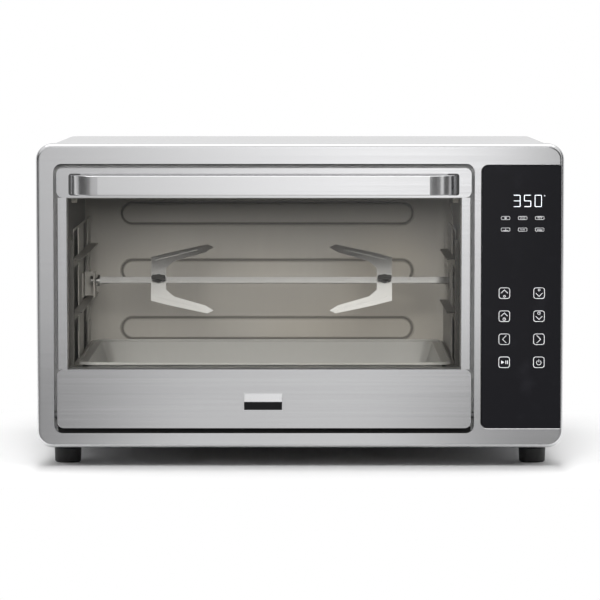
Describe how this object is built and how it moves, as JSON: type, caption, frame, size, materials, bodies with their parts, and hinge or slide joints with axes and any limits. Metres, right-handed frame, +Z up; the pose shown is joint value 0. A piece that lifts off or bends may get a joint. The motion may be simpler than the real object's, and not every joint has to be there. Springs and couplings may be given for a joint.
{
  "type": "air fryer toaster oven",
  "caption": "Countertop air fryer toaster oven with a drop-down glass door, bowed bar handle, touch panel, rack guides, bake tray, rotisserie spit with forks and a side convection fan.",
  "frame": {"origin": "on the counter, under the middle of the oven's bounding box", "axes": "+X to the right as seen from the front, +Y to the back, +Z up; the door faces -Y"},
  "size_m": [0.5, 0.399, 0.3065],
  "materials": {
    "frame_steel": "satin stainless steel",
    "brushed_panel": "stainless steel brushed from side to side",
    "handle_steel": "polished stainless steel",
    "casing_sheet": "zinc-coated sheet, matt grey",
    "oven_lining": "aluminised sheet, satin and slightly warm",
    "rack_steel": "satin stainless sheet",
    "element_sheath": "dark oxidised steel sheath",
    "ceramic": "unglazed ivory ceramic",
    "tray_steel": "satin steel",
    "mouth_enamel": "grey heat-proof enamel, half matt",
    "crumb_steel": "satin steel",
    "fan_metal": "plain aluminium",
    "motor_iron": "dark laminated iron",
    "bright_steel": "bright plated steel",
    "black_oxide": "black-oxide steel",
    "zinc_steel": "zinc-plated steel",
    "clear_glass": "clear toughened glass",
    "control_black_glass": "black printed glass, high gloss",
    "black_plastic": "heat-resistant black plastic",
    "white_plastic": "white plastic",
    "board_green": "green circuit board",
    "foot_rubber": "black rubber"
  },
  "bodies": {
    "oven": {"front_frame": "frame_steel", "outer_wrap": "brushed_panel", "rear_panel": "casing_sheet", "base_pan": "casing_sheet", "cavity_back": "oven_lining", "cavity_left_wall": "oven_lining", "cavity_right_wall": "oven_lining", "cavity_ceiling": "oven_lining", "cavity_floor": "oven_lining", "fan_cover": "oven_lining", "fan_chamber": "oven_lining", "rack_guide_left": "rack_steel", "rack_guide_right": "rack_steel", "spit_support": "rack_steel", "upper_element_front": "element_sheath", "upper_element_rear": "element_sheath", "lower_element_front": "element_sheath", "lower_element_rear": "element_sheath", "element_holders": "ceramic", "bake_tray": "tray_steel", "front_bulkhead": "mouth_enamel", "crumb_tray": "crumb_steel", "fan_motor": "motor_iron", "spit_motor": "motor_iron", "thermal_cutout": "motor_iron", "temperature_probe": "bright_steel", "hinge_pins": "black_oxide", "door_sill": "black_oxide", "hinge_bracket_left": "zinc_steel", "hinge_bracket_right": "zinc_steel", "case_screws": "zinc_steel", "control_glass": "control_black_glass", "control_carrier": "black_plastic", "rear_spacers": "black_plastic", "display_module": "black_plastic", "control_board": "board_green", "power_board": "board_green", "feet": "foot_rubber", "cord_bush": "foot_rubber"},
    "door": {"door_inner_frame": "zinc_steel", "door_glass": "clear_glass", "door_top_rail": "frame_steel", "door_lower_panel": "brushed_panel", "door_side_trim_left": "frame_steel", "door_side_trim_right": "frame_steel", "door_handle": "handle_steel", "handle_mounts": "black_plastic", "handle_screws": "zinc_steel", "hinge_springs": "zinc_steel"},
    "fan_rotor": {"fan_shaft": "bright_steel", "convection_fan": "fan_metal", "cooling_fan": "white_plastic"},
    "spit": {"spit_rod": "bright_steel", "drive_socket": "bright_steel"},
    "fork_left_body": {"fork_left": "bright_steel"},
    "fork_right_body": {"fork_right": "bright_steel"},
    "thumbscrew_left_body": {"thumbscrew_left": "black_plastic"},
    "thumbscrew_right_body": {"thumbscrew_right": "black_plastic"}
  },
  "joints": [
    {"name": "door_hinge", "type": "hinge", "parent": "oven", "child": "door", "pos_m": [0, -0.1575, 0.0477], "axis": [1, 0, 0], "range_deg": [0, 90], "stiffness_Nm_per_rad": 0.5, "springref_deg": -34.38},
    {"name": "spit_turn", "type": "hinge", "parent": "oven", "child": "spit", "pos_m": [0, 0.0015, 0.1655], "axis": [1, 0, 0], "continuous": true},
    {"name": "fan_spin", "type": "hinge", "parent": "oven", "child": "fan_rotor", "pos_m": [0.18, 0.0825, 0.1875], "axis": [1, 0, 0], "continuous": true},
    {"name": "fork_left_slide", "type": "slide", "parent": "spit", "child": "fork_left_body", "axis": [1, 0, 0], "range_m": [-0.048, 0.04]},
    {"name": "fork_right_slide", "type": "slide", "parent": "spit", "child": "fork_right_body", "axis": [1, 0, 0], "range_m": [-0.04, 0.045]},
    {"name": "thumbscrew_left_turn", "type": "hinge", "parent": "fork_left_body", "child": "thumbscrew_left_body", "pos_m": [-0.1406, 0.0015, 0.1655], "axis": [0, -0.9659, 0.2588], "continuous": true},
    {"name": "thumbscrew_right_turn", "type": "hinge", "parent": "fork_right_body", "child": "thumbscrew_right_body", "pos_m": [0.0839, 0.0015, 0.1655], "axis": [0, -0.9659, 0.2588], "continuous": true}
  ]
}
